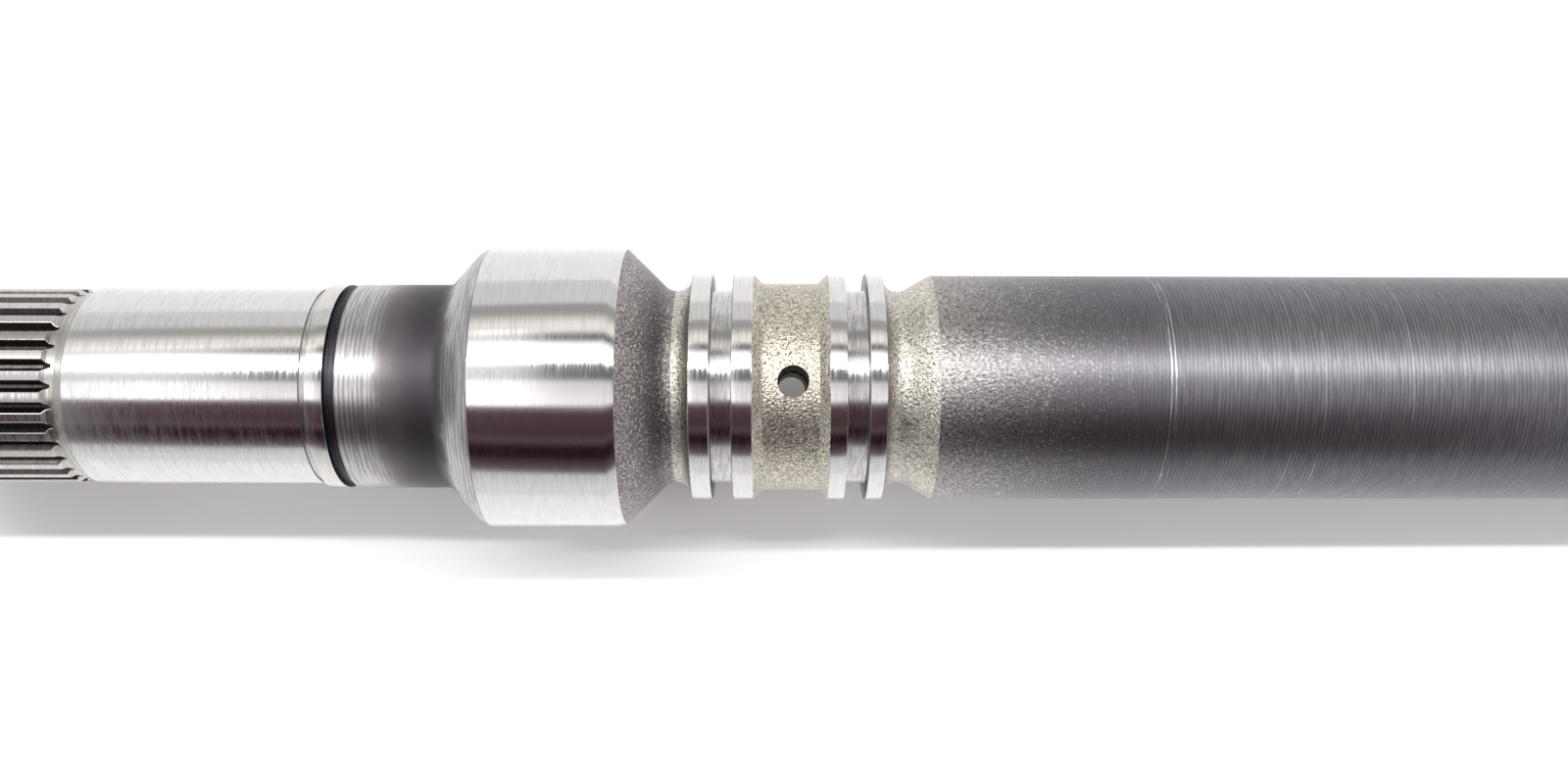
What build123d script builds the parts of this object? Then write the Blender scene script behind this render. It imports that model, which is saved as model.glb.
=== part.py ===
from build123d import *
import os
from math import cos, radians, sin, tan

# Turned and ground steel shaft in millimetres. +Z runs along its axis, from the
# plain barrel end, where it stands, to the splined end. The cross hole runs along Y.

# Whole shaft
shaft_length = 320.0
end_chamfer = 1.0

# Barrel, the long plain stretch, and the cone at its upper end
barrel_radius = 14.33
barrel_length = 182.4
barrel_cone_angle = 30.0

# Two necks, each one pass of a round-nosed tool between a cone and a land
neck_radius = 12.3
neck_fillet = 2.15

# Seal lands, the ring groove between each pair and the oil groove between the pairs
land_radius = 14.49
seal_groove_radius = 12.38
seal_groove_width = 2.65
lower_land_width = 2.12
upper_land_width = 2.5
oil_groove_radius = 13.28
oil_groove_length = 9.4
oil_groove_fillet = 1.0

# Ground collar, with a long cone below and a short shoulder above
collar_radius = 17.9
collar_length = 15.85
lead_in_depth = 0.3
lead_in_length = 1.15
collar_cone_angle = 45.0
shoulder_depth = 0.7
shoulder_length = 1.25
flank_length = 3.8
flank_fillet = 1.5

# Turned section above the collar, with the snap-ring groove near its end
turned_radius = 13.0
turned_length = 11.84
snap_groove_radius = 12.3
snap_groove_width = 1.39
narrow_land_width = 2.17

# Ground bearing journal, the shallow relief below it and the neck above it
relief_radius = 12.3
relief_width = 0.8
journal_radius = 12.5
journal_length = 28.1
journal_chamfer_length = 1.25
spline_neck_radius = 11.9
spline_neck_length = 1.05

# Splines
tooth_count = 30
crest_radius = 12.3
root_radius = 11.35
gap_width_at_crest = 1.45
flank_angle = 30.0
crest_chamfer = 0.4
spline_end_chamfer = 1.1
runout_length = 1.1
runout_rise = 0.55
gap_angle_from_cross_hole = 3.5
cutter_overshoot = 0.5

# Oil holes and the lathe centres
axial_bore_radius = 2.4
cross_hole_radius = 1.93
cross_hole_height = 199.95
bore_past_cross_hole = 4.0
drill_point_angle = 118.0
centre_angle = 60.0
upper_centre_radius = 4.0
lower_centre_radius = 3.2
lower_pilot_radius = 1.25
lower_pilot_depth = 8.0


def cone_length(large_radius, small_radius, angle):
    """Length along the axis of a cone whose side leans by angle from the axis."""
    return (large_radius - small_radius) / tan(radians(angle))


# Where a cone runs into a neck's fillet
barrel_cone_end_radius = neck_radius + neck_fillet * (1 - cos(radians(barrel_cone_angle)))
collar_cone_end_radius = neck_radius + neck_fillet * (1 - cos(radians(collar_cone_angle)))

# Heights above the barrel end
barrel_cone_end = barrel_length + cone_length(barrel_radius, barrel_cone_end_radius, barrel_cone_angle)
lower_neck_centre = barrel_cone_end + neck_fillet * sin(radians(barrel_cone_angle))
lower_lands_start = lower_neck_centre + neck_fillet
lower_lands_end = lower_lands_start + 2 * lower_land_width + seal_groove_width
upper_lands_start = lower_lands_end + oil_groove_length
upper_lands_end = upper_lands_start + 2 * upper_land_width + seal_groove_width
upper_neck_centre = upper_lands_end + neck_fillet
collar_cone_start = upper_neck_centre + neck_fillet * sin(radians(collar_cone_angle))
collar_cone_end = collar_cone_start + cone_length(
    collar_radius - lead_in_depth, collar_cone_end_radius, collar_cone_angle
)
collar_start = collar_cone_end + lead_in_length
collar_end = collar_start + collar_length
shoulder_end = collar_end + shoulder_length
turned_start = shoulder_end + flank_length
snap_groove_start = turned_start + turned_length
snap_groove_end = snap_groove_start + snap_groove_width
relief_start = snap_groove_end + narrow_land_width
journal_start = relief_start + relief_width
journal_end = journal_start + journal_length
spline_neck_start = journal_end + journal_chamfer_length
spline_neck_end = spline_neck_start + spline_neck_length
spline_start = spline_neck_end + crest_chamfer


def on_section(radius, height):
    """A point of the half section, which lies in the XZ plane."""
    return Vector(radius, 0, height)


def neck_arc(centre_height, angle, towards_barrel):
    """The round-nosed tool's path through a neck, from a cone's end to a land's wall."""
    side = -1 if towards_barrel else 1
    centre = on_section(neck_radius + neck_fillet, centre_height)
    on_cone = centre + on_section(-cos(radians(angle)), side * sin(radians(angle))) * neck_fillet
    bottom = centre + on_section(-neck_fillet, 0)
    on_wall = centre + on_section(0, -side * neck_fillet)
    return ThreePointArc(on_cone, bottom, on_wall)


def barrel_lines():
    return Polyline(
        on_section(0, 0),
        on_section(barrel_radius - end_chamfer, 0),
        on_section(barrel_radius, end_chamfer),
        on_section(barrel_radius, barrel_length),
        on_section(barrel_cone_end_radius, barrel_cone_end),
    )


def seal_land_lines():
    """Both pairs of lands, each with its ring groove, and the oil groove between them."""
    oil_groove_depth = land_radius - oil_groove_radius
    points = [on_section(neck_radius + neck_fillet, lower_lands_start)]
    for pair_start, land_width in (
        (lower_lands_start, lower_land_width),
        (upper_lands_start, upper_land_width),
    ):
        groove_start = pair_start + land_width
        groove_end = groove_start + seal_groove_width
        points += [
            on_section(land_radius, pair_start),
            on_section(land_radius, groove_start),
            on_section(seal_groove_radius, groove_start),
            on_section(seal_groove_radius, groove_end),
            on_section(land_radius, groove_end),
            on_section(land_radius, groove_end + land_width),
        ]
        if pair_start == lower_lands_start:
            points += [
                on_section(oil_groove_radius, lower_lands_end + oil_groove_depth),
                on_section(oil_groove_radius, upper_lands_start - oil_groove_depth),
            ]
    points.append(on_section(neck_radius + neck_fillet, upper_lands_end))
    return Polyline(*points)


def collar_lines():
    return Polyline(
        on_section(collar_cone_end_radius, collar_cone_start),
        on_section(collar_radius - lead_in_depth, collar_cone_end),
        on_section(collar_radius, collar_start),
        on_section(collar_radius, collar_end),
        on_section(collar_radius - shoulder_depth, shoulder_end),
        on_section(turned_radius, turned_start),
    )


def journal_lines():
    return Polyline(
        on_section(turned_radius, turned_start),
        on_section(turned_radius, snap_groove_start),
        on_section(snap_groove_radius, snap_groove_start),
        on_section(snap_groove_radius, snap_groove_end),
        on_section(turned_radius, snap_groove_end),
        on_section(turned_radius, relief_start),
        on_section(relief_radius, relief_start),
        on_section(relief_radius, journal_start),
        on_section(journal_radius, journal_start),
        on_section(journal_radius, journal_end),
        on_section(spline_neck_radius, spline_neck_start),
        on_section(spline_neck_radius, spline_neck_end),
        on_section(crest_radius, spline_start),
        on_section(crest_radius, shaft_length - spline_end_chamfer),
        on_section(crest_radius - spline_end_chamfer, shaft_length),
        on_section(0, shaft_length),
    )


def corners_at(section, radius, height):
    """The corner of the half section at one place."""
    target = on_section(radius, height)
    return [min(section.vertices(), key=lambda corner: (Vector(corner) - target).length)]


def turned_blank():
    """The shaft as it leaves the lathe: one half section, revolved."""
    outline = Wire(
        barrel_lines().edges()
        + neck_arc(lower_neck_centre, barrel_cone_angle, towards_barrel=True).edges()
        + seal_land_lines().edges()
        + neck_arc(upper_neck_centre, collar_cone_angle, towards_barrel=False).edges()
        + collar_lines().edges()
        + journal_lines().edges()
        + Line(on_section(0, shaft_length), on_section(0, 0)).edges()
    )
    section = Face(outline)
    flank_foot = corners_at(section, turned_radius, turned_start)
    section = section.fillet_2d(flank_fillet, flank_foot)
    groove_foot = corners_at(
        section, oil_groove_radius, upper_lands_start - land_radius + oil_groove_radius
    )
    section = section.fillet_2d(oil_groove_fillet, groove_foot)
    return revolve(section, axis=Axis.Z)


def spline_gap():
    """The metal removed between two teeth, with the cutter's runout into the neck."""
    outer_radius = crest_radius + cutter_overshoot
    slope = tan(radians(flank_angle))
    outer_half = gap_width_at_crest / 2 + cutter_overshoot * slope
    root_half = gap_width_at_crest / 2 - (crest_radius - root_radius) * slope
    outline = Polyline(
        (outer_radius, -outer_half, spline_start),
        (root_radius, -root_half, spline_start),
        (root_radius, root_half, spline_start),
        (outer_radius, outer_half, spline_start),
        close=True,
    )
    profile = make_face(outline.edges()).face()
    straight = Solid.extrude(profile, Vector(0, 0, shaft_length - spline_start + cutter_overshoot))
    reach = (spline_start - spline_neck_start) / runout_length
    runout = Solid.extrude(profile, Vector(runout_rise * reach, 0, -runout_length * reach))
    return straight + runout


def cut_splines(blank):
    gap = spline_gap()
    pitch = 360 / tooth_count
    first_angle = -90 - gap_angle_from_cross_hole
    return blank - [Rot(0, 0, first_angle + pitch * i) * gap for i in range(tooth_count)]


def drilled_hole(radius, mouth_radius, point_angle, depth):
    """A drilled hole along +Z from its mouth at the origin, with a lathe centre's seat."""
    seat_depth = cone_length(mouth_radius, radius, centre_angle / 2)
    point_depth = cone_length(radius, 0, point_angle / 2)
    section = Polyline(
        (0, 0, 0),
        (mouth_radius, 0, 0),
        (radius, 0, seat_depth),
        (radius, 0, depth),
        (0, 0, depth + point_depth),
        close=True,
    )
    return revolve(make_face(section.edges()), axis=Axis.Z)


def cut_holes(shaft):
    bore_depth = shaft_length - cross_hole_height + bore_past_cross_hole
    axial_bore = drilled_hole(axial_bore_radius, upper_centre_radius, drill_point_angle, bore_depth)
    lower_centre = drilled_hole(
        lower_pilot_radius, lower_centre_radius, drill_point_angle, lower_pilot_depth
    )
    cross_hole = Cylinder(cross_hole_radius, 4 * oil_groove_radius)
    return shaft - [
        Pos(0, 0, shaft_length) * Rot(180, 0, 0) * axial_bore,
        lower_centre,
        Pos(0, 0, cross_hole_height) * Rot(90, 0, 0) * cross_hole,
    ]


splined_shaft = cut_holes(cut_splines(turned_blank()))

os.makedirs("parts", exist_ok=True)
export_step(splined_shaft, "parts/splined_shaft.step")

print("volume in cubic centimetres", round(splined_shaft.volume / 1000, 2))
print("lower lands", round(lower_lands_start, 2), "to", round(lower_lands_end, 2))
print("upper lands", round(upper_lands_start, 2), "to", round(upper_lands_end, 2))
print("collar", round(collar_start, 2), "to", round(collar_end, 2))
print("turned section from", round(turned_start, 2))
print("snap-ring groove", round(snap_groove_start, 2), "to", round(snap_groove_end, 2))
print("journal", round(journal_start, 2), "to", round(journal_end, 2))
print("splines from", round(spline_start, 2), "to", shaft_length)
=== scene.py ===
# Splined steel shaft, in metres. +Z runs from the plain barrel end, where it stands, to the splines.
import math

import bmesh
import bpy
from mathutils import Matrix, Vector


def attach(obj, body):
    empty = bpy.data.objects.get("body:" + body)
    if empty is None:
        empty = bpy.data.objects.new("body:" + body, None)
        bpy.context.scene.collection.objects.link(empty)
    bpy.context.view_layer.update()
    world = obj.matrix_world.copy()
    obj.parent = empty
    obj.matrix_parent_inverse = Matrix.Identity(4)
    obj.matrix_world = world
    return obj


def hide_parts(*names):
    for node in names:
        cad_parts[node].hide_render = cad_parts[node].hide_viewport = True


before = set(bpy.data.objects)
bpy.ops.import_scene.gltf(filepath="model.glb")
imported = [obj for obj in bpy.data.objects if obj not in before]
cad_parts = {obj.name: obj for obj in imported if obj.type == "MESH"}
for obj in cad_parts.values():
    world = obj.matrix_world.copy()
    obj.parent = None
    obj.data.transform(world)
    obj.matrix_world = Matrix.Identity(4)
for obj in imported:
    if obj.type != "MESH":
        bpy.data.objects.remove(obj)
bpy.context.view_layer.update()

print("frame loaded")

# Sizes of the shaft and of its splines.

shaft = {
    "length": 0.320,
    "endChamfer": 0.001,
    "barrelRadius": 0.01433,
    "barrelLength": 0.1824,
    "barrelConeAngle": math.radians(30),
    "neckRadius": 0.0123,
    "neckFillet": 0.00215,
    "landRadius": 0.01449,
    "sealGrooveRadius": 0.01238,
    "sealGrooveWidth": 0.00265,
    "lowerLandWidth": 0.00212,
    "upperLandWidth": 0.0025,
    "oilGrooveRadius": 0.01328,
    "oilGrooveLength": 0.0094,
    "oilGrooveFillet": 0.001,
    "collarRadius": 0.0179,
    "collarLength": 0.01585,
    "collarConeAngle": math.radians(45),
    "leadInDepth": 0.0003,
    "leadInLength": 0.00115,
    "shoulderDepth": 0.0007,
    "shoulderLength": 0.00125,
    "flankLength": 0.0038,
    "flankFillet": 0.0015,
    "turnedRadius": 0.013,
    "turnedLength": 0.01184,
    "snapGrooveRadius": 0.0123,
    "snapGrooveWidth": 0.00139,
    "narrowLandWidth": 0.00217,
    "reliefRadius": 0.0123,
    "reliefWidth": 0.0008,
    "journalRadius": 0.0125,
    "journalLength": 0.0281,
    "journalChamferLength": 0.00125,
    "splineNeckRadius": 0.0119,
    "splineNeckLength": 0.00105,
    "upperCentreRadius": 0.004,
    "axialBoreRadius": 0.0024,
    "crossHoleRadius": 0.00193,
    "crossHoleHeight": 0.19995,
    "crossHoleSides": 64,
    "borePastCrossHole": 0.004,
    "lowerCentreRadius": 0.0032,
    "lowerPilotRadius": 0.00125,
    "lowerPilotDepth": 0.008,
    "centreAngle": math.radians(60),
    "drillPointAngle": math.radians(118),
    "edgeBreak": 0.00007,  # the small radius that handling leaves on a turned edge
    "groundEdgeBreak": 0.00011,
    "softEdge": 0.00028,
    "neckFoot": 0.00014,
    "leadInRounding": 0.00088,
    "smallRounding": 0.0004,  # roundings up to this size get the wider arc step
    "arcStep": math.radians(9),
    "smallArcStep": math.radians(45),
    "sharpAngle": math.radians(27),
}

splines = {
    "toothCount": 30,
    "crestRadius": 0.0123,
    "rootRadius": 0.01135,
    "gapWidthAtCrest": 0.00145,
    "flankAngle": math.radians(30),
    "crestChamfer": 0.0004,
    "endChamfer": 0.0011,
    "runoutLength": 0.0011,
    "runoutRise": 0.00055,
    "runoutRows": 7,
    "firstCrestRow": 0.0002,
    "edgeBreak": 0.00007,
    "leastEdgeShare": 0.35,  # of the edge break, where the runout leaves hardly any flank
    "edgeShareOfFlank": 0.3,
    "stepsPerHalfPitch": 6,
    "stepsInGap": 3,  # of those, the ones from the middle of a gap up its flank
    "firstGapAngle": math.radians(-93.5),
}


def coneLength(largeRadius, smallRadius, angle):
    return (largeRadius - smallRadius) / math.tan(angle)


# The half section of the shaft, corner by corner.

def neckCorners(start, coneAngle, finish, wallFinish, coneFinish, towardsBarrel):
    # the two corners whose rounding makes one pass of a round-nosed tool
    fillet = shaft["neckFillet"]
    reach = fillet * math.tan(coneAngle / 2)
    if towardsBarrel:
        return [
            (shaft["neckRadius"], start, fillet, finish),
            (shaft["neckRadius"], start + reach + fillet, fillet, wallFinish),
        ]
    return [
        (shaft["neckRadius"], start, fillet, finish),
        (shaft["neckRadius"], start + fillet + reach, fillet, coneFinish),
    ]


def shaftCorners():
    # radius, height, rounding and the finish of the stretch that follows
    s = shaft
    brk = s["edgeBreak"]
    fine = s["groundEdgeBreak"]
    corners = []
    pilotPoint = coneLength(s["lowerPilotRadius"], 0, s["drillPointAngle"] / 2)
    seatDepth = coneLength(s["lowerCentreRadius"], s["lowerPilotRadius"], s["centreAngle"] / 2)
    corners += [
        (0, s["lowerPilotDepth"] + pilotPoint, 0, "bore"),
        (s["lowerPilotRadius"], s["lowerPilotDepth"], 0, "bore"),
        (s["lowerPilotRadius"], seatDepth, 0, "bore"),
        (s["lowerCentreRadius"], 0, brk, "endFace"),
        (s["barrelRadius"] - s["endChamfer"], 0, brk, "endFace"),
        (s["barrelRadius"], s["endChamfer"], brk, "barrel"),
        (s["barrelRadius"], s["barrelLength"], brk, "blasted"),
    ]
    height = s["barrelLength"] + coneLength(s["barrelRadius"], s["neckRadius"], s["barrelConeAngle"])
    corners += neckCorners(height, s["barrelConeAngle"], "blasted", "blasted", "blasted", True)
    height = corners[-1][1]
    depth = s["landRadius"] - s["oilGrooveRadius"]
    rise = s["oilGrooveLength"] - depth
    for width in (s["lowerLandWidth"], s["upperLandWidth"]):
        grooveStart = height + width
        grooveEnd = grooveStart + s["sealGrooveWidth"]
        corners += [
            (s["landRadius"], height, fine, "land"),
            (s["landRadius"], grooveStart, fine, "grooveWall"),
            (s["sealGrooveRadius"], grooveStart, brk, "ringFloor"),
            (s["sealGrooveRadius"], grooveEnd, brk, "grooveWall"),
            (s["landRadius"], grooveEnd, fine, "land"),
        ]
        height = grooveEnd + width
        if width == s["lowerLandWidth"]:
            corners += [
                (s["landRadius"], height, fine, "oilGroove"),
                (s["oilGrooveRadius"], height + depth, s["softEdge"], "oilGroove"),
                (s["oilGrooveRadius"], height + rise, s["oilGrooveFillet"], "oilGroove"),
            ]
            height += s["oilGrooveLength"]
    corners.append((s["landRadius"], height, fine, "blasted"))
    corners += neckCorners(height, s["collarConeAngle"], "blasted", "blasted", "cone", False)
    height = corners[-1][1]
    height += coneLength(s["collarRadius"] - s["leadInDepth"], s["neckRadius"], s["collarConeAngle"])
    corners.append((s["collarRadius"] - s["leadInDepth"], height, brk, "collar"))
    height += s["leadInLength"]
    corners.append((s["collarRadius"], height, s["leadInRounding"], "collar"))
    height += s["collarLength"]
    corners.append((s["collarRadius"], height, fine, "turned"))
    height += s["shoulderLength"]
    corners.append((s["collarRadius"] - s["shoulderDepth"], height, s["softEdge"], "turned"))
    height += s["flankLength"]
    corners.append((s["turnedRadius"], height, s["flankFillet"], "turned"))
    height += s["turnedLength"]
    corners += [
        (s["turnedRadius"], height, brk, "groove"),
        (s["snapGrooveRadius"], height, brk, "groove"),
    ]
    height += s["snapGrooveWidth"]
    corners += [
        (s["snapGrooveRadius"], height, brk, "groove"),
        (s["turnedRadius"], height, brk, "narrowLand"),
    ]
    height += s["narrowLandWidth"]
    corners += [
        (s["turnedRadius"], height, brk, "grooveWall"),
        (s["reliefRadius"], height, brk, "ringFloor"),
    ]
    height += s["reliefWidth"]
    corners += [
        (s["reliefRadius"], height, brk, "grooveWall"),
        (s["journalRadius"], height, brk, "journal"),
    ]
    height += s["journalLength"]
    corners.append((s["journalRadius"], height, fine, "splineNeck"))
    height += s["journalChamferLength"]
    corners.append((s["splineNeckRadius"], height, s["neckFoot"], "splineNeck"))
    return corners


def splineCorners(neckStart):
    # blank radius only; the gaps are taken out of it when the rows are turned into rings
    p = splines
    neckEnd = neckStart + shaft["splineNeckLength"]
    start = neckEnd + p["crestChamfer"]
    end = shaft["length"]
    corners = []
    runoutStart = start - p["runoutLength"]
    for i in range(p["runoutRows"]):
        height = runoutStart + (neckEnd - runoutStart) * i / p["runoutRows"]
        corners.append((shaft["splineNeckRadius"], height, 0, "splineNeck"))
    corners += [
        (shaft["splineNeckRadius"], neckEnd, 0, "splines"),
        ((shaft["splineNeckRadius"] + p["crestRadius"]) / 2, (neckEnd + start) / 2, 0, "splines"),
        (p["crestRadius"], start, 0, "splines"),
        (p["crestRadius"], start + p["firstCrestRow"], 0, "splines"),
        (p["crestRadius"], end - p["endChamfer"], 0, "splines"),
        (p["rootRadius"], end - p["endChamfer"] + p["crestRadius"] - p["rootRadius"], 0, "endFace"),
        (p["crestRadius"] - p["endChamfer"], end, 0, "endFace"),
    ]
    return corners, start


def boreCorners():
    s = shaft
    seatDepth = coneLength(s["upperCentreRadius"], s["axialBoreRadius"], s["centreAngle"] / 2)
    boreEnd = s["crossHoleHeight"] - s["borePastCrossHole"]
    point = coneLength(s["axialBoreRadius"], 0, s["drillPointAngle"] / 2)
    return [
        (s["upperCentreRadius"], s["length"], s["edgeBreak"], "bore"),
        (s["axialBoreRadius"], s["length"] - seatDepth, 0, "bore"),
        (s["axialBoreRadius"], boreEnd, 0, "bore"),
        (0, boreEnd - point, 0, "bore"),
    ]


def roundedCorner(before, corner, after, radius):
    # points of the arc that rounds one corner of the half section
    here = Vector(corner)
    inward = (Vector(before) - here).normalized()
    outward = (Vector(after) - here).normalized()
    opening = inward.angle(outward)
    if radius <= 0 or opening > math.radians(178):
        return [corner]
    reach = radius / math.tan(opening / 2)
    middle = here + (inward + outward).normalized() * radius / math.sin(opening / 2)
    first = here + inward * reach - middle
    last = here + outward * reach - middle
    turn = first.angle(last)
    arcStep = shaft["arcStep"] if radius > shaft["smallRounding"] else shaft["smallArcStep"]
    steps = max(1, math.ceil(turn / arcStep))
    points = []
    for i in range(steps + 1):
        t = i / steps
        firstShare = math.sin((1 - t) * turn) / math.sin(turn)
        lastShare = math.sin(t * turn) / math.sin(turn)
        points.append(tuple(middle + first * firstShare + last * lastShare))
    return points


def roundedProfile(corners):
    rows = []
    for i, (radius, height, rounding, finish) in enumerate(corners):
        here = (radius, height)
        if i == 0 or i == len(corners) - 1:
            points = [here]
        else:
            points = roundedCorner(corners[i - 1][:2], here, corners[i + 1][:2], rounding)
        for point in points:
            if rows and (Vector(point) - Vector(rows[-1][:2])).length < 1e-7:
                rows[-1] = (rows[-1][0], rows[-1][1], finish)
                continue
            rows.append((point[0], point[1], finish))
    return rows


# Rings of points, with the gaps of the splines.

def gapHalfPoints(blankRadius, rootRadius):
    # from the middle of a gap to the middle of a tooth: floor, flank, broken edge and crest
    p = splines
    slope = math.tan(p["flankAngle"])
    rootHalf = p["gapWidthAtCrest"] / 2 - (p["crestRadius"] - p["rootRadius"]) * slope
    floor = min(rootRadius, math.sqrt(blankRadius ** 2 - rootHalf ** 2))
    offset = rootHalf - slope * floor
    a = 1 + slope ** 2
    b = slope * offset
    top = (-b + math.sqrt(max(b * b - a * (offset ** 2 - blankRadius ** 2), 0))) / a
    rootCorner = Vector((floor, rootHalf))
    crestCorner = Vector((top, rootHalf + slope * (top - floor)))
    flank = crestCorner - rootCorner
    crestAngle = math.atan2(crestCorner.y, crestCorner.x)
    least = p["leastEdgeShare"] * p["edgeBreak"]
    broken = min(p["edgeBreak"], flank.length * p["edgeShareOfFlank"])
    upperFlank = rootCorner
    if flank.length > 1e-6:
        upperFlank = rootCorner + flank * (1 - broken / flank.length)
    flankSum = rootCorner + upperFlank
    edgeAngle = crestAngle + max(broken, least) / blankRadius
    toothMiddle = math.pi / p["toothCount"]
    midAngle = (edgeAngle + toothMiddle) / 2
    return [
        (0, floor),
        (math.atan2(rootCorner.y, rootCorner.x), rootCorner.length),
        (math.atan2(flankSum.y, flankSum.x), flankSum.length / 2),
        (math.atan2(upperFlank.y, upperFlank.x), upperFlank.length),
        (edgeAngle, blankRadius),
        (midAngle, blankRadius),
        (toothMiddle, blankRadius),
    ]


def ringPoints(radius, height, splineStart):
    # one ring of the shaft: plain, or with every gap and tooth
    p = splines
    count = p["toothCount"]
    pitch = 2 * math.pi / count
    perHalf = p["stepsPerHalfPitch"]
    fall = max(0, splineStart - height)
    rootRadius = p["rootRadius"] + fall * p["runoutRise"] / p["runoutLength"]
    onOutside = radius > shaft["upperCentreRadius"] * 1.5
    toothed = onOutside and fall <= p["runoutLength"] * 1.0001
    half = [(pitch / 2 * i / perHalf, radius) for i in range(perHalf + 1)]
    if toothed:
        half = gapHalfPoints(radius, rootRadius)
    pattern = half[:-1] + [(pitch - a, r) for a, r in reversed(half[1:])]
    ring = []
    for tooth in range(count):
        for angle, r in pattern:
            turn = p["firstGapAngle"] + tooth * pitch + angle
            ring.append((r * math.cos(turn), r * math.sin(turn), height))
    return ring


def latheMesh(name, rows, splineStart, finishNumbers):
    # turns the half section round the axis, with the same number of points for every tooth pitch
    perTooth = 2 * splines["stepsPerHalfPitch"]
    gapSteps = splines["stepsInGap"]
    runoutFoot = splineStart - splines["runoutLength"] * 0.999
    points = []
    faces = []
    finishes = []
    previous = None
    for radius, height, finish in rows:
        if radius < 1e-7:
            ring = [len(points)]
            points.append((0, 0, height))
        else:
            ring = list(range(len(points), len(points) + perTooth * splines["toothCount"]))
            points += ringPoints(radius, height, splineStart)
        if previous:
            lower, lowerFinish = previous
            count = max(len(ring), len(lower))
            for i in range(count):
                j = (i + 1) % count
                if len(lower) == 1:
                    face = (lower[0], ring[j], ring[i])
                elif len(ring) == 1:
                    face = (lower[i], lower[j], ring[0])
                else:
                    face = (lower[i], lower[j], ring[j], ring[i])
                step = i % perTooth
                kind = lowerFinish
                if kind in ("splines", "splineNeck") and height > runoutFoot:
                    if step < gapSteps or step >= perTooth - gapSteps:
                        kind = "splineGap"
                    elif kind == "splines":
                        kind = "splineCrest"
                faces.append(face)
                finishes.append(finishNumbers[kind])
        previous = (ring, finish)
    mesh = bpy.data.meshes.new(name)
    mesh.from_pydata(points, [], faces)
    mesh.polygons.foreach_set("material_index", finishes)
    mesh.update()
    return mesh


def crossHoleCutter(material):
    # a long drill across the shaft, through both walls of the oil groove
    s = shaft
    sides = s["crossHoleSides"]
    reach = 2 * s["landRadius"]
    points = []
    for y in (-reach, reach):
        for i in range(sides):
            angle = 2 * math.pi * i / sides
            x = s["crossHoleRadius"] * math.cos(angle)
            z = s["crossHoleRadius"] * math.sin(angle)
            points.append((x, y, s["crossHoleHeight"] + z))
    faces = [(i, (i + 1) % sides, sides + (i + 1) % sides, sides + i) for i in range(sides)]
    faces.append(tuple(reversed(range(sides))))
    faces.append(tuple(range(sides, 2 * sides)))
    mesh = bpy.data.meshes.new("crossHoleCutter")
    mesh.from_pydata(points, [], faces)
    mesh.materials.append(material)
    outwardNormals(mesh)
    cutter = bpy.data.objects.new("crossHoleCutter", mesh)
    bpy.context.scene.collection.objects.link(cutter)
    return cutter


def outwardNormals(mesh):
    work = bmesh.new()
    work.from_mesh(mesh)
    bmesh.ops.recalc_face_normals(work, faces=work.faces)
    work.to_mesh(mesh)
    work.free()


# Small helpers for shader trees.

def addNode(tree, kind, **values):
    node = tree.nodes.new(kind)
    for key, value in values.items():
        setattr(node, key, value)
    return node


def setInputs(node, **values):
    for key, value in values.items():
        node.inputs[key].default_value = value
    return node


def join(tree, source, target):
    tree.links.new(source, target)


def calc(tree, operation, first, second=None, third=None, clamp=False):
    node = addNode(tree, "ShaderNodeMath", operation=operation, use_clamp=clamp)
    for slot, value in enumerate((first, second, third)):
        if value is None:
            continue
        if isinstance(value, (int, float)):
            node.inputs[slot].default_value = value
        else:
            join(tree, value, node.inputs[slot])
    return node.outputs[0]


def blendColour(tree, factor, first, second, kind="MIX"):
    node = addNode(tree, "ShaderNodeMix", data_type="RGBA", blend_type=kind)
    for socket, value in ((node.inputs[0], factor), (node.inputs[6], first), (node.inputs[7], second)):
        if isinstance(value, (int, float)):
            socket.default_value = value
        elif isinstance(value, tuple):
            socket.default_value = (*value, 1)
        else:
            join(tree, value, socket)
    return node.outputs[2]


def remap(tree, value, low, high, newLow=0.0, newHigh=1.0, smooth=True):
    node = addNode(tree, "ShaderNodeMapRange", interpolation_type="SMOOTHSTEP" if smooth else "LINEAR")
    join(tree, value, node.inputs["Value"])
    setInputs(node, **{"From Min": low, "From Max": high, "To Min": newLow, "To Max": newHigh})
    return node.outputs["Result"]


def newGroup(name, inputs, outputs):
    group = bpy.data.node_groups.new(name, "ShaderNodeTree")
    for title, kind, value in inputs:
        socket = group.interface.new_socket(title, in_out="INPUT", socket_type=kind)
        if value is not None:
            socket.default_value = value
    for title, kind in outputs:
        group.interface.new_socket(title, in_out="OUTPUT", socket_type=kind)
    entry = addNode(group, "NodeGroupInput")
    leave = addNode(group, "NodeGroupOutput")
    return group, entry, leave


def placeGroup(tree, group, **values):
    node = addNode(tree, "ShaderNodeGroup", node_tree=group)
    return setInputs(node, **values)


def objectPlace(tree):
    return addNode(tree, "ShaderNodeTexCoord").outputs["Object"]


def heightAlong(tree):
    parts = addNode(tree, "ShaderNodeSeparateXYZ")
    join(tree, objectPlace(tree), parts.inputs[0])
    return parts.outputs["Z"]


# Effects that several finishes share.

lineLook = {
    "detail": 3.0,
    "roughness": 0.6,
    "feedShake": 1.2,
    "feedDepth": 0.12,
    "maskFrom": 0.38,
    "maskTo": 0.66,
}


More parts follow.
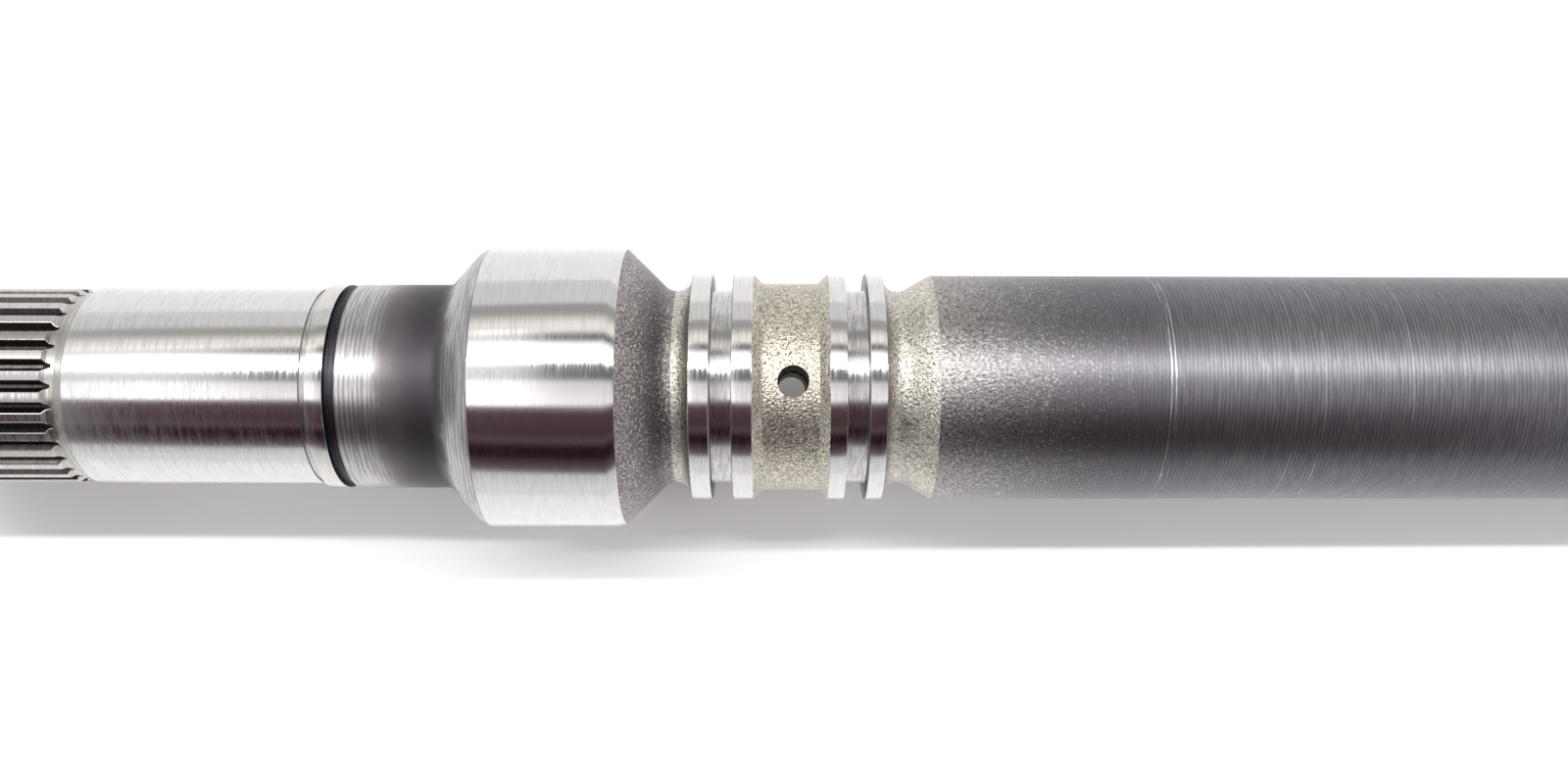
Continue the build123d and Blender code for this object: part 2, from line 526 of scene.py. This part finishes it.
def makeToolLines():
    # lines left by a turning tool or a grinding wheel: long round the shaft, narrow along it
    group, entry, leave = newGroup(
        "toolLines",
        [
            ("Lines per metre", "NodeSocketFloat", 4000.0),
            ("Breaks per metre", "NodeSocketFloat", 120.0),
            ("Tilt", "NodeSocketFloat", 0.0),
            ("Feed", "NodeSocketFloat", 0.0),
        ],
        [("Height", "NodeSocketFloat"), ("Mask", "NodeSocketFloat")],
    )
    parts = addNode(group, "ShaderNodeSeparateXYZ")
    join(group, objectPlace(group), parts.inputs[0])
    side = calc(group, "MULTIPLY", parts.outputs["X"], entry.outputs["Tilt"])
    along = calc(group, "ADD", parts.outputs["Z"], side)
    along = calc(group, "MULTIPLY", along, entry.outputs["Lines per metre"])
    across = calc(group, "MULTIPLY", parts.outputs["X"], entry.outputs["Breaks per metre"])
    depth = calc(group, "MULTIPLY", parts.outputs["Y"], entry.outputs["Breaks per metre"])
    place = addNode(group, "ShaderNodeCombineXYZ")
    join(group, across, place.inputs[0])
    join(group, depth, place.inputs[1])
    join(group, along, place.inputs[2])
    noise = addNode(group, "ShaderNodeTexNoise")
    setInputs(noise, Scale=1.0, Detail=lineLook["detail"], Roughness=lineLook["roughness"])
    join(group, place.outputs[0], noise.inputs["Vector"])
    # the even pitch of the tool's feed, shaken a little by the noise
    feed = calc(group, "MULTIPLY_ADD", noise.outputs["Fac"], lineLook["feedShake"], along)
    feed = calc(group, "SINE", calc(group, "MULTIPLY", feed, math.pi))
    feed = calc(group, "MULTIPLY", feed, entry.outputs["Feed"])
    height = calc(group, "MULTIPLY_ADD", feed, lineLook["feedDepth"], noise.outputs["Fac"])
    join(group, height, leave.inputs["Height"])
    join(group, remap(group, height, lineLook["maskFrom"], lineLook["maskTo"]), leave.inputs["Mask"])
    return group


grainLook = {
    "detail": 2.0,
    "roughness": 0.7,
    "sparkleFrom": 0.52,
    "sparkleTo": 0.7,
    "patchesPerMetre": 240.0,
    "patchDetail": 3.0,
    "patchRoughness": 0.6,
    "patchFrom": 0.35,
    "patchTo": 0.7,
}


def makeShotGrain():
    # pits and peaks of a blasted skin
    group, entry, leave = newGroup(
        "shotGrain",
        [("Grains per metre", "NodeSocketFloat", 3500.0)],
        [("Height", "NodeSocketFloat"), ("Sparkle", "NodeSocketFloat"), ("Patch", "NodeSocketFloat")],
    )
    g = grainLook
    place = objectPlace(group)
    grain = addNode(group, "ShaderNodeTexNoise")
    setInputs(grain, Detail=g["detail"], Roughness=g["roughness"])
    join(group, place, grain.inputs["Vector"])
    join(group, entry.outputs["Grains per metre"], grain.inputs["Scale"])
    patch = addNode(group, "ShaderNodeTexNoise")
    setInputs(patch, Scale=g["patchesPerMetre"], Detail=g["patchDetail"], Roughness=g["patchRoughness"])
    join(group, place, patch.inputs["Vector"])
    join(group, grain.outputs["Fac"], leave.inputs["Height"])
    sparkle = remap(group, grain.outputs["Fac"], g["sparkleFrom"], g["sparkleTo"])
    join(group, sparkle, leave.inputs["Sparkle"])
    join(group, remap(group, patch.outputs["Fac"], g["patchFrom"], g["patchTo"]), leave.inputs["Patch"])
    return group


def makeStretch():
    # 1 between two heights of the shaft and 0 outside, with soft ends
    group, entry, leave = newGroup(
        "stretch",
        [
            ("From", "NodeSocketFloat", 0.0),
            ("To", "NodeSocketFloat", 1.0),
            ("Softness", "NodeSocketFloat", 0.001),
        ],
        [("Mask", "NodeSocketFloat")],
    )
    height = heightAlong(group)
    up = calc(group, "SUBTRACT", height, entry.outputs["From"])
    up = calc(group, "DIVIDE", up, entry.outputs["Softness"])
    up = calc(group, "ADD", up, 0.5, clamp=True)
    down = calc(group, "SUBTRACT", entry.outputs["To"], height)
    down = calc(group, "DIVIDE", down, entry.outputs["Softness"])
    down = calc(group, "ADD", down, 0.5, clamp=True)
    join(group, calc(group, "MULTIPLY", up, down), leave.inputs["Mask"])
    return group


toolLines = makeToolLines()
shotGrain = makeShotGrain()
stretch = makeStretch()
print("shared effects built")

# Finishes.

quarterTurn = 0.25  # lays the stretched highlight along the shaft


def newMaterial(name, roughness, base, anisotropy=0.0):
    material = bpy.data.materials.new(name)
    material.use_nodes = True
    tree = material.node_tree
    shader = tree.nodes["Principled BSDF"]
    setInputs(shader, Metallic=1.0, Roughness=roughness)
    shader.inputs["Base Color"].default_value = (*base, 1)
    if anisotropy:
        shader.inputs["Anisotropic"].default_value = anisotropy
        shader.inputs["Anisotropic Rotation"].default_value = quarterTurn
        tangent = addNode(tree, "ShaderNodeTangent", direction_type="RADIAL", axis="Z")
        join(tree, tangent.outputs[0], shader.inputs["Tangent"])
    return material, tree, shader


def addBump(tree, shader, height, distance):
    bump = addNode(tree, "ShaderNodeBump")
    setInputs(bump, Strength=1.0, Distance=distance)
    join(tree, height, bump.inputs["Height"])
    if shader.inputs["Normal"].is_linked:
        join(tree, shader.inputs["Normal"].links[0].from_socket, bump.inputs["Normal"])
    join(tree, bump.outputs[0], shader.inputs["Normal"])


ground = {
    "base": (0.61, 0.60, 0.595),
    "dull": (0.55, 0.54, 0.535),
    "narrowLand": (0.58, 0.57, 0.55),
    "ringFloor": (0.50, 0.49, 0.48),
    "roughFrom": 0.4,
    "roughTo": 0.65,
    "anisotropy": 0.9,
    "linesPerMetre": 4200.0,
    "breaksPerMetre": 330.0,
    "lineHeight": 0.0000014,
}


def groundSteel(name, base, roughLow, roughHigh):
    g = ground
    material, tree, shader = newMaterial(name, roughLow, base, g["anisotropy"])
    lines = placeGroup(tree, toolLines, **{
        "Lines per metre": g["linesPerMetre"], "Breaks per metre": g["breaksPerMetre"],
    })
    dull = tuple(b * d / c for b, d, c in zip(base, g["dull"], g["base"]))
    join(tree, blendColour(tree, lines.outputs["Mask"], base, dull), shader.inputs["Base Color"])
    height = lines.outputs["Height"]
    rough = remap(tree, height, g["roughFrom"], g["roughTo"], roughLow, roughHigh, smooth=False)
    join(tree, rough, shader.inputs["Roughness"])
    addBump(tree, shader, lines.outputs["Height"], g["lineHeight"])
    return material


turned = {
    "base": (0.47, 0.46, 0.465),
    "dark": (0.27, 0.26, 0.27),
    "heatBrown": (0.150, 0.138, 0.146),
    "heatBlue": (0.072, 0.066, 0.075),
    "roughness": 0.31,
    "heatRoughness": 0.55,
    "linesPerMetre": 3600.0,
    "breaksPerMetre": 260.0,
    "feed": 0.8,
    "lineHeight": 0.000009,
    "anisotropy": 0.35,
    "tintMiddle": 0.2440,
    "tintWander": 0.0006,
    "brownTo": 0.5,
    "blueFrom": 0.35,
    "roughTo": 0.8,
    "tintAbove": 0.0098,
    "tintBelow": 0.0032,
}


def turnedSteel(name):
    t = turned
    material, tree, shader = newMaterial(name, t["roughness"], t["base"], t["anisotropy"])
    lines = placeGroup(tree, toolLines, Feed=t["feed"], **{
        "Lines per metre": t["linesPerMetre"], "Breaks per metre": t["breaksPerMetre"],
    })
    grain = placeGroup(tree, shotGrain)
    height = calc(tree, "MULTIPLY_ADD", grain.outputs["Patch"], t["tintWander"], heightAlong(tree))
    fromMiddle = calc(tree, "SUBTRACT", height, t["tintMiddle"])
    above = remap(tree, fromMiddle, t["tintAbove"], 0.0)
    below = remap(tree, fromMiddle, -t["tintBelow"], 0.0)
    amount = calc(tree, "MULTIPLY", above, below)
    colour = blendColour(tree, lines.outputs["Mask"], t["dark"], t["base"])
    colour = blendColour(tree, remap(tree, amount, 0.0, t["brownTo"]), colour, t["heatBrown"])
    colour = blendColour(tree, remap(tree, amount, t["blueFrom"], 1.0), colour, t["heatBlue"])
    join(tree, colour, shader.inputs["Base Color"])
    roughness = remap(tree, amount, 0.0, t["roughTo"], t["roughness"], t["heatRoughness"])
    join(tree, roughness, shader.inputs["Roughness"])
    addBump(tree, shader, lines.outputs["Height"], t["lineHeight"])
    return material


blasted = {
    "base": (0.50, 0.48, 0.42),
    "oilGroove": (0.47, 0.44, 0.36),
    "dark": (0.15, 0.13, 0.115),
    "bright": (0.80, 0.78, 0.70),
    "pitFrom": 0.47,
    "pitTo": 0.37,
    "patchAmount": 0.30,
    "grainsPerMetre": 3400.0,
    "grainHeight": 0.00013,
}


def grainColours(tree, grain, base, dark, bright):
    # dark pits, an even middle and a few bright peaks
    pits = remap(tree, grain.outputs["Height"], blasted["pitFrom"], blasted["pitTo"])
    patchy = calc(tree, "MULTIPLY", grain.outputs["Patch"], blasted["patchAmount"])
    colour = blendColour(tree, calc(tree, "MAXIMUM", pits, patchy), base, dark)
    return blendColour(tree, grain.outputs["Sparkle"], colour, bright)


roughCone = {
    "base": (0.27, 0.253, 0.245),
    "dark": (0.09, 0.077, 0.077),
    "bright": (0.56, 0.53, 0.50),
    # colour of the darker band near the neck: partly heat scale, partly painted shade
    "scaleAndShade": (0.085, 0.068, 0.075),
    "scaleAndShadeFrom": 0.2152,
    "scaleAndShadeTo": 0.2186,
    "scaleAndShadeSoftness": 0.0030,
    "scaleAndShadeAmount": 0.85,
    "sparkleThroughScaleAndShade": 0.5,
    "roughness": 0.38,
}


def coneSteel(name):
    # the blasted cone below the collar, darker in a band near the neck: partly heat scale, partly painted
    # shade where the cone reflects less light
    c = roughCone
    material, tree, shader = newMaterial(name, c["roughness"], c["base"])
    grain = placeGroup(tree, shotGrain, **{"Grains per metre": blasted["grainsPerMetre"]})
    # painted shade with heat scale: the band near the neck is darkened, except on bright grains
    scaleAndShade = placeGroup(tree, stretch, From=c["scaleAndShadeFrom"], To=c["scaleAndShadeTo"], Softness=c["scaleAndShadeSoftness"])
    colour = grainColours(tree, grain, c["base"], c["dark"], c["bright"])
    amount = calc(tree, "MULTIPLY", scaleAndShade.outputs["Mask"], c["scaleAndShadeAmount"])
    bare = calc(tree, "MULTIPLY", grain.outputs["Sparkle"], c["sparkleThroughScaleAndShade"])
    amount = calc(tree, "SUBTRACT", amount, bare, clamp=True)
    join(tree, blendColour(tree, amount, colour, c["scaleAndShade"]), shader.inputs["Base Color"])
    addBump(tree, shader, grain.outputs["Height"], blasted["grainHeight"])
    return material


def blastedSteel(name, base, dark, roughness):
    b = blasted
    material, tree, shader = newMaterial(name, roughness, base)
    grain = placeGroup(tree, shotGrain, **{"Grains per metre": b["grainsPerMetre"]})
    join(tree, grainColours(tree, grain, base, dark, b["bright"]), shader.inputs["Base Color"])
    addBump(tree, shader, grain.outputs["Height"], b["grainHeight"])
    return material


barrel = {
    "base": (0.200, 0.194, 0.205),
    "dark": (0.125, 0.117, 0.135),
    "bright": (0.50, 0.50, 0.51),
    "blastedBase": (0.34, 0.33, 0.31),
    "roughness": 0.42,
    "blastedRoughness": 0.40,
    "anisotropy": 0.3,
    "patchAmount": 0.25,
    "linesPerMetre": 4200.0,
    "breaksPerMetre": 300.0,
    "feed": 1.0,
    "tilt": 0.02,
    "lineHeight": 0.000016,
    "grainsPerMetre": 2600.0,
    "grainHeight": 0.00010,
    "blastMiddle": 0.170,
    "blastSoftness": 0.024,
    "scores": ((0.15465, 1.0), (0.1541, 0.8), (0.1396, 0.25), (0.1362, 0.4), (0.1255, 0.35)),
    "scoreWidth": 0.00022,
    "smoke": (0.105, 0.099, 0.110),
    "smokeFrom": 0.153,
    "smokeTo": 0.174,
    "smokeSoftness": 0.016,
    "smokeAmount": 0.7,
}


def barrelSteel(name):
    b = barrel
    material, tree, shader = newMaterial(name, b["roughness"], b["base"], b["anisotropy"])
    lines = placeGroup(tree, toolLines, Tilt=b["tilt"], Feed=b["feed"], **{
        "Lines per metre": b["linesPerMetre"], "Breaks per metre": b["breaksPerMetre"],
    })
    grain = placeGroup(tree, shotGrain, **{"Grains per metre": b["grainsPerMetre"]})
    blast = placeGroup(tree, stretch, From=b["blastMiddle"], To=1.0, Softness=b["blastSoftness"])
    patchy = remap(tree, grain.outputs["Patch"], 0.0, 1.0, b["patchAmount"], 0.0)
    colour = blendColour(tree, lines.outputs["Mask"], b["dark"], b["base"])
    grainy = grainColours(tree, grain, b["blastedBase"], blasted["dark"], b["bright"])
    colour = blendColour(tree, blast.outputs["Mask"], colour, grainy)
    scores = 0.0
    width = b["scoreWidth"]
    for height, strength in b["scores"]:
        score = placeGroup(tree, stretch, From=height, To=height + width, Softness=width / 2)
        scores = calc(tree, "MAXIMUM", calc(tree, "MULTIPLY", score.outputs["Mask"], strength), scores)
    smoke = placeGroup(tree, stretch, From=b["smokeFrom"], To=b["smokeTo"], Softness=b["smokeSoftness"])
    smoked = calc(tree, "SUBTRACT", 1.0, grain.outputs["Sparkle"])
    smoked = calc(tree, "MULTIPLY", smoked, smoke.outputs["Mask"])
    colour = blendColour(tree, calc(tree, "MULTIPLY", smoked, b["smokeAmount"]), colour, b["smoke"])
    scores = calc(tree, "MULTIPLY", scores, lines.outputs["Mask"])
    colour = blendColour(tree, scores, colour, b["bright"])
    colour = blendColour(tree, patchy, colour, b["dark"])
    join(tree, colour, shader.inputs["Base Color"])
    roughness = remap(tree, blast.outputs["Mask"], 0.0, 1.0, b["roughness"], b["blastedRoughness"])
    join(tree, roughness, shader.inputs["Roughness"])
    grainHeight = calc(tree, "MULTIPLY", grain.outputs["Height"], blast.outputs["Mask"])
    addBump(tree, shader, lines.outputs["Height"], b["lineHeight"])
    addBump(tree, shader, grainHeight, b["grainHeight"])
    return material


darkSteel = {
    # near-black of the narrow snap groove: partly heat scale, partly painted shade of the deep groove
    "groove": (0.050, 0.045, 0.056),
    "wall": (0.30, 0.29, 0.29),
    # painted shade: the spline gaps and their flanks are near-black so they read as the shaded recesses
    # between teeth
    "gap": (0.085, 0.072, 0.068),
    "crest": (0.50, 0.48, 0.47),
    "neck": (0.46, 0.45, 0.42),
    "bore": (0.22, 0.21, 0.205),
    "endFace": (0.45, 0.44, 0.44),
    "lineShade": 0.55,
    "linesPerMetre": 5000.0,
    "breaksPerMetre": 300.0,
    "lineHeight": 0.000006,
}


def darkFinish(name, base, roughness):
    d = darkSteel
    material, tree, shader = newMaterial(name, roughness, base)
    lines = placeGroup(tree, toolLines, **{
        "Lines per metre": d["linesPerMetre"], "Breaks per metre": d["breaksPerMetre"],
    })
    darker = tuple(c * d["lineShade"] for c in base)
    join(tree, blendColour(tree, lines.outputs["Mask"], base, darker), shader.inputs["Base Color"])
    addBump(tree, shader, lines.outputs["Height"], d["lineHeight"])
    return material


finishes = {
    "journal": groundSteel("groundJournal", ground["base"], roughLow=0.15, roughHigh=0.29),
    "collar": groundSteel("groundCollar", ground["base"], roughLow=0.10, roughHigh=0.20),
    "land": groundSteel("groundLand", ground["base"], roughLow=0.11, roughHigh=0.24),
    "narrowLand": groundSteel("groundNarrowLand", ground["narrowLand"], roughLow=0.14, roughHigh=0.30),
    "turned": turnedSteel("turnedSteel"),
    "blasted": blastedSteel("blastedSteel", blasted["base"], blasted["dark"], roughness=0.34),
    "oilGroove": blastedSteel("blastedOilGroove", blasted["oilGroove"], blasted["dark"], roughness=0.29),
    "cone": coneSteel("roughConeSteel"),
    "barrel": barrelSteel("barrelSteel"),
    "groove": darkFinish("snapGrooveScaleAndShade", darkSteel["groove"], roughness=0.4),
    "ringFloor": groundSteel("ringGrooveFloor", ground["ringFloor"], roughLow=0.16, roughHigh=0.42),
    "grooveWall": darkFinish("grooveWallSteel", darkSteel["wall"], roughness=0.4),
    # painted shade between the spline teeth
    "splineGap": darkFinish("splineGapPaintedShade", darkSteel["gap"], roughness=0.35),
    "splineCrest": groundSteel("splineCrestSteel", darkSteel["crest"], roughLow=0.18, roughHigh=0.40),
    "splineNeck": groundSteel("splineNeckSteel", darkSteel["neck"], roughLow=0.24, roughHigh=0.45),
    "bore": darkFinish("boreSteel", darkSteel["bore"], roughness=0.4),
    "endFace": darkFinish("endFaceSteel", darkSteel["endFace"], roughness=0.35),
}
print("finishes built")

# The shaft itself.

def buildShaft():
    corners = shaftCorners()
    neckStart = corners[-1][1]
    toothCorners, splineStart = splineCorners(neckStart)
    rows = roundedProfile(corners + toothCorners + boreCorners())
    numbers = {kind: i for i, kind in enumerate(finishes)}
    mesh = latheMesh("splinedShaft", rows, splineStart, numbers)
    for material in finishes.values():
        mesh.materials.append(material)
    outwardNormals(mesh)
    piece = bpy.data.objects.new("splinedShaft", mesh)
    bpy.context.scene.collection.objects.link(piece)
    cutter = crossHoleCutter(finishes["bore"])
    cut = piece.modifiers.new("crossHole", "BOOLEAN")
    cut.operation = "DIFFERENCE"
    cut.solver = "EXACT"
    cut.material_mode = "TRANSFER"
    cut.object = cutter
    graph = bpy.context.evaluated_depsgraph_get()
    graph.update()
    result = bpy.data.meshes.new_from_object(piece.evaluated_get(graph))
    piece.modifiers.clear()
    piece.data = result
    bpy.data.objects.remove(cutter)
    result.shade_smooth()
    result.set_sharp_from_angle(angle=shaft["sharpAngle"])
    print("shaft rows", len(rows), "faces", len(result.polygons))
    return piece


splinedShaft = buildShaft()
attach(splinedShaft, "root")
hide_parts("splined_shaft")
print("shaft built")

# Camera.

view = {
    "turnFromFront": math.radians(3.8),  # how far round from -Y, where the cross hole is, the camera stands
    "targetHeight": 0.201,
    "distance": 0.1784073,
    "stepRight": -0.00189795,
    "stepDown": 0.003099985,
    "sensorWidth": 36.0,
    "lens": 31.725,
    "shiftX": -0.009375,
    "shiftY": -0.018125,
    "clipStart": 0.01,
    "axisSlope": 0.002,  # how much the axis falls towards the barrel in the camera's view
    "axisRecede": 0.015,  # and how much the barrel leans away from the camera
}
towardsCamera = Vector((-math.sin(view["turnFromFront"]), -math.cos(view["turnFromFront"]), 0))


def cameraDirections():
    # right, down and forward for a camera that sees the axis almost level, barrel to the right
    axisDown = Vector((0, 0, -1))
    size = Vector((1, view["axisSlope"], view["axisRecede"])).length
    lean = view["axisRecede"] / size
    forward = axisDown * lean - towardsCamera * math.sqrt(1 - lean * lean)
    level = (axisDown - forward * axisDown.dot(forward)).normalized()
    under = forward.cross(level)
    roll = math.atan(view["axisSlope"])
    right = level * math.cos(roll) - under * math.sin(roll)
    down = level * math.sin(roll) + under * math.cos(roll)
    return right, down, forward


def addCamera():
    right, down, forward = cameraDirections()
    target = Vector((0, 0, view["targetHeight"]))
    offset = right * view["stepRight"] + down * view["stepDown"] + forward * view["distance"]
    data = bpy.data.cameras.new("mainCamera")
    data.sensor_width = view["sensorWidth"]
    data.lens = view["lens"]
    data.shift_x = view["shiftX"]
    data.shift_y = view["shiftY"]
    data.clip_start = view["clipStart"]
    camera = bpy.data.objects.new("mainCamera", data)
    turn = Matrix((right, -down, -forward)).transposed()
    camera.matrix_world = Matrix.Translation(target - offset) @ turn.to_4x4()
    bpy.context.scene.collection.objects.link(camera)
    bpy.context.scene.camera = camera


addCamera()
print("camera placed")

# Floor and backdrop.

studio = {
    "floorRadius": 0.17,
    "floorSides": 96,
    "collarTouch": 0.2302,  # height at which the backdrop touches the collar
    "backdropGap": 0.0001,
    "backdropHalfWidth": 0.32,
    "backdropHeight": 0.5,
    "wallColour": (0.90, 0.90, 0.905),
    "paintedReflectionGlow": 0.22,  # painted reflection: glossy rays see floor and backdrop glow on the side away from the lamp, so the metal looks brighter there than on the other side
    "paintedReflectionGlowWidth": 0.03,
    "cameraLift": 0.06,  # a little light for the camera only, so that the ground reads as plain white
}


def stageMaterial(name, seeThroughBack):
    material = bpy.data.materials.new(name)
    material.use_nodes = True
    tree = material.node_tree
    shader = tree.nodes["Principled BSDF"]
    setInputs(shader, Roughness=1.0, **{"Specular IOR Level": 0.0})
    shader.inputs["Base Color"].default_value = (*studio["wallColour"], 1)
    shader.inputs["Emission Color"].default_value = (1, 1, 1, 1)
    path = addNode(tree, "ShaderNodeLightPath")
    parts = addNode(tree, "ShaderNodeSeparateXYZ")
    join(tree, objectPlace(tree), parts.inputs[0])
    # painted reflection: a glow that only glossy rays see, on one side of the floor and backdrop
    away = remap(tree, parts.outputs["X"], 0.0, -studio["paintedReflectionGlowWidth"], 0.0, studio["paintedReflectionGlow"])
    lift = calc(tree, "MULTIPLY", path.outputs["Is Glossy Ray"], away)
    lift = calc(tree, "MULTIPLY_ADD", path.outputs["Is Camera Ray"], studio["cameraLift"], lift)
    join(tree, lift, shader.inputs["Emission Strength"])
    if seeThroughBack:
        clear = addNode(tree, "ShaderNodeBsdfTransparent")
        side = addNode(tree, "ShaderNodeNewGeometry")
        mix = addNode(tree, "ShaderNodeMixShader")
        join(tree, side.outputs["Backfacing"], mix.inputs[0])
        join(tree, shader.outputs[0], mix.inputs[1])
        join(tree, clear.outputs[0], mix.inputs[2])
        join(tree, mix.outputs[0], tree.nodes["Material Output"].inputs["Surface"])
    return material


def addStagePiece(name, points, faces, material):
    mesh = bpy.data.meshes.new(name)
    mesh.from_pydata(points, [], faces)
    mesh.materials.append(material)
    piece = bpy.data.objects.new(name, mesh)
    bpy.context.scene.collection.objects.link(piece)
    return piece


def buildStage():
    sides = studio["floorSides"]
    ring = []
    radius = studio["floorRadius"]
    for i in range(sides):
        angle = 2 * math.pi * i / sides
        ring.append((radius * math.cos(angle), radius * math.sin(angle), 0))
    addStagePiece("floor", ring, [tuple(range(sides))], stageMaterial("floorWhite", False))
    # the backdrop touches the barrel end below and the collar above
    lean = (shaft["collarRadius"] - shaft["barrelRadius"]) / studio["collarTouch"]
    side = Vector((towardsCamera.y, -towardsCamera.x, 0))
    half = studio["backdropHalfWidth"]
    points = []
    for height, sign in ((0, -1), (0, 1), (studio["backdropHeight"], 1), (studio["backdropHeight"], -1)):
        behind = shaft["barrelRadius"] + lean * height + studio["backdropGap"]
        points.append(tuple(-towardsCamera * behind + side * half * sign + Vector((0, 0, height))))
    normal = (Vector(points[1]) - Vector(points[0])).cross(Vector(points[2]) - Vector(points[0]))
    face = (0, 1, 2, 3) if normal.dot(towardsCamera) > 0 else (3, 2, 1, 0)
    addStagePiece("backdrop", points, [face], stageMaterial("backdropWhite", True))


buildStage()
print("stage built")

# Light.

# Soft boxes round the shaft: angle about its axis from the camera side, in degrees, and colour.
softBoxes = [
    (-180, (0.96, 0.96, 0.97)),
    (-73, (0.99, 0.98, 0.99)),
    (-69, (0.50, 0.49, 0.48)),
    (-62, (0.54, 0.53, 0.51)),
    (-53, (1.34, 1.30, 1.21)),
    (-47, (1.37, 1.33, 1.26)),
    (-42, (0.27, 0.26, 0.27)),
    (-39, (0.27, 0.26, 0.27)),
    (-34, (1.90, 1.90, 1.90)),
    (-24, (1.90, 1.90, 1.90)),
    (-17.5, (0.24, 0.23, 0.25)),
    (-8, (0.24, 0.23, 0.25)),
    (-3.5, (1.02, 0.99, 1.03)),
    (12.5, (1.42, 1.37, 1.41)),
    (17, (0.30, 0.25, 0.27)),
    (21, (0.13, 0.072, 0.090)),
    (34, (0.090, 0.052, 0.058)),
    (38, (0.085, 0.053, 0.060)),
    (43, (0.14, 0.090, 0.10)),
    (50, (0.030, 0.010, 0.017)),
    (57, (0.030, 0.010, 0.018)),
    (66, (0.12, 0.080, 0.092)),
    (71, (0.20, 0.17, 0.18)),
    (75.5, (0.85, 0.84, 0.84)),
    (88, (1.08, 1.08, 1.09)),
    (180, (1.12, 1.12, 1.14)),
]

light = {
    "topStrength": 2.0,
    "highBox": 1.05,  # a second soft box, above the first, which lifts the middle of the journal
    "highBoxFrom": 0.24,
    "highBoxTo": 0.30,
    "highBoxLeft": math.radians(-47),
    "highBoxRight": math.radians(15),
    "highBoxSoftness": math.radians(2),
    "skyColour": (0.80, 0.80, 0.81),
    "groundColour": (0.17, 0.135, 0.15),
    "poleStart": 0.55,
    "poleEnd": 0.85,
    "stripAngle": math.radians(-22.2),
    "stripDistance": 0.5,
    "stripWidth": 0.014,
    "stripLength": 0.84,
    "stripHeight": 0.21,
    "stripPower": 2.3,
}


def buildWorld():
    world = bpy.data.worlds.new("studio")
    bpy.context.scene.world = world
    world.use_nodes = True
    tree = world.node_tree
    background = tree.nodes["Background"]
    place = addNode(tree, "ShaderNodeTexCoord")
    parts = addNode(tree, "ShaderNodeSeparateXYZ")
    join(tree, place.outputs["Generated"], parts.inputs[0])
    angle = calc(tree, "ARCTAN2", calc(tree, "MULTIPLY", parts.outputs["X"], -1.0),
                 calc(tree, "MULTIPLY", parts.outputs["Y"], -1.0))
    fromCamera = calc(tree, "SUBTRACT", angle, view["turnFromFront"])
    share = calc(tree, "MULTIPLY_ADD", fromCamera, 0.5 / math.pi, 0.5)
    ramp = addNode(tree, "ShaderNodeValToRGB")
    strength = light["topStrength"]
    elements = ramp.color_ramp.elements
    while len(elements) > 1:
        elements.remove(elements[-1])
    for i, (degrees, colour) in enumerate(softBoxes):
        spot = (degrees + 180) / 360
        element = elements[0] if i == 0 else elements.new(spot)
        element.position = spot
        element.color = (*[c / strength for c in colour], 1)
    join(tree, share, ramp.inputs[0])
    high = remap(tree, parts.outputs["Z"], light["highBoxFrom"], light["highBoxTo"])
    soft = light["highBoxSoftness"]
    left = remap(tree, fromCamera, light["highBoxLeft"] - soft, light["highBoxLeft"] + soft)
    right = remap(tree, fromCamera, light["highBoxRight"] + soft, light["highBoxRight"] - soft)
    high = calc(tree, "MULTIPLY", calc(tree, "MULTIPLY", high, left), right)
    high = calc(tree, "MULTIPLY", high, light["highBox"] / strength)
    lifted = blendColour(tree, 1.0, ramp.outputs[0], high, "ADD")
    above = remap(tree, parts.outputs["Z"], light["poleStart"], light["poleEnd"])
    below = remap(tree, parts.outputs["Z"], -light["poleStart"], -light["poleEnd"])
    colour = blendColour(tree, above, lifted, tuple(c / strength for c in light["skyColour"]))
    colour = blendColour(tree, below, colour, tuple(c / strength for c in light["groundColour"]))
    path = addNode(tree, "ShaderNodeLightPath")
    white = (1 / strength, 1 / strength, 1 / strength)
    seen = blendColour(tree, path.outputs["Is Camera Ray"], colour, white)
    join(tree, seen, background.inputs["Color"])
    background.inputs["Strength"].default_value = strength


def addStripLamp():
    data = bpy.data.lights.new("stripLamp", "AREA")
    data.shape = "RECTANGLE"
    data.size = light["stripWidth"]
    data.size_y = light["stripLength"]
    data.energy = light["stripPower"]
    lamp = bpy.data.objects.new("stripLamp", data)
    turn = -view["turnFromFront"] - light["stripAngle"]
    outward = Vector((math.sin(turn), -math.cos(turn), 0))
    lamp.location = outward * light["stripDistance"] + Vector((0, 0, light["stripHeight"]))
    across = Vector((0, 0, 1)).cross(outward)
    facing = Matrix((across, (0, 0, 1), outward)).transposed().to_4x4()
    lamp.matrix_world = Matrix.Translation(lamp.location) @ facing
    lamp.visible_camera = False
    bpy.context.scene.collection.objects.link(lamp)


buildWorld()
addStripLamp()
bpy.context.scene.view_settings.view_transform = "Standard"
print("light built")
